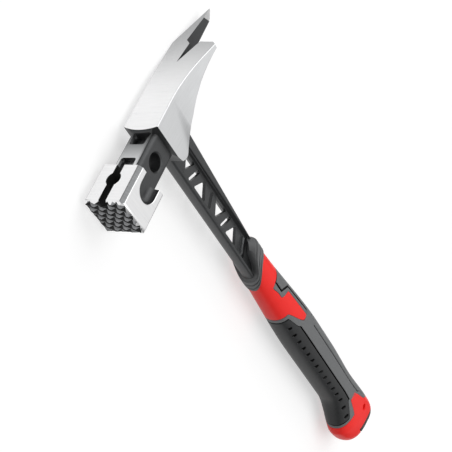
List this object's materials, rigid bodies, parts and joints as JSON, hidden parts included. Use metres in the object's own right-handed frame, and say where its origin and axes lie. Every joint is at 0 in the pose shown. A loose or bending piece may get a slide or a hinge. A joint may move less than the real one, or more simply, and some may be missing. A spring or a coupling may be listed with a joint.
{
  "type": "framing hammer",
  "caption": "Framing hammer with a milled square face, magnetic nail groove, uneven slotted ripping claw, forged truss shaft and a two-tone moulded grip with a lanyard hole.",
  "frame": {"origin": "centre of the hammer's outline, on the surface it lies on", "axes": "+X from the striking face back to the claw, +Y up the handle to the head, +Z across the head, up from the surface the hammer lies on"},
  "size_m": [0.164, 0.3694, 0.0334],
  "materials": {
    "coated_steel": "black coating, ground bright on the block and the claw",
    "brass": "turned",
    "magnet": "nickel plated",
    "black_nylon": "moulded",
    "dark_rubber": "matt, fine grain",
    "red_plastic": "satin",
    "grey_rubber": "matt, fine grain"
  },
  "bodies": {
    "root": {"head_and_shaft": "coated_steel", "magnet_sleeve": "brass", "nail_magnet": "magnet", "grip_core": "black_nylon", "grip_collar": "dark_rubber", "throat_sleeve": "red_plastic", "thumb_rest": "grey_rubber", "grip_frame": "grey_rubber", "front_pad": "dark_rubber", "rear_strip": "grey_rubber", "butt_cap": "red_plastic", "butt_bumper": "dark_rubber"}
  },
  "joints": []
}
